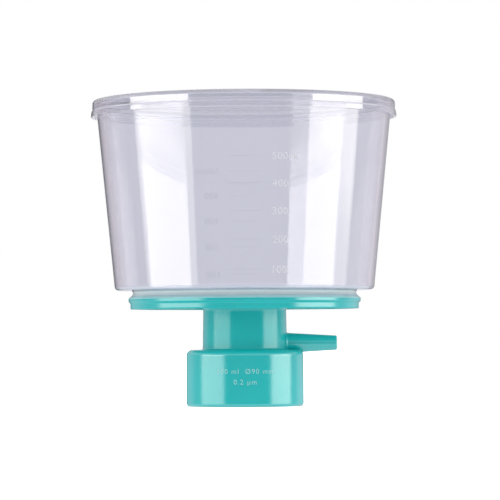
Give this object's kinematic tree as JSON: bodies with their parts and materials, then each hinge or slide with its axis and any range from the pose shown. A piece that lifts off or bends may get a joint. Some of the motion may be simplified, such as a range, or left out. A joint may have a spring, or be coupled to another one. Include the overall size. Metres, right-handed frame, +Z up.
{
  "type": "bottle-top vacuum filtration unit",
  "caption": "Clear tapered funnel cup with a flat lid on a teal base with a ribbed membrane seat, neck, vacuum side arm and threaded bottle collar.",
  "frame": {"origin": "centre of the collar's mouth, on the plane the unit stands on", "axes": "+Z up along the unit's axis towards the lid, +X along the vacuum side arm"},
  "size_m": [0.1254, 0.1254, 0.1253],
  "materials": {
    "clear_lid": "clear polished polystyrene",
    "clear_cup": "clear polished polystyrene",
    "membrane": "matt white porous film",
    "teal_base": "smooth moulded teal plastic with a soft gloss",
    "gasket": "soft off-white silicone"
  },
  "bodies": {
    "unit": {"base": "teal_base", "cup": "clear_cup", "membrane": "membrane", "bottle_gasket": "gasket"},
    "lid": {"lid": "clear_lid"}
  },
  "joints": [
    {"name": "lid_lift", "type": "slide", "parent": "unit", "child": "lid", "axis": [0, 0, 1], "range_m": [0, 0.04]}
  ]
}
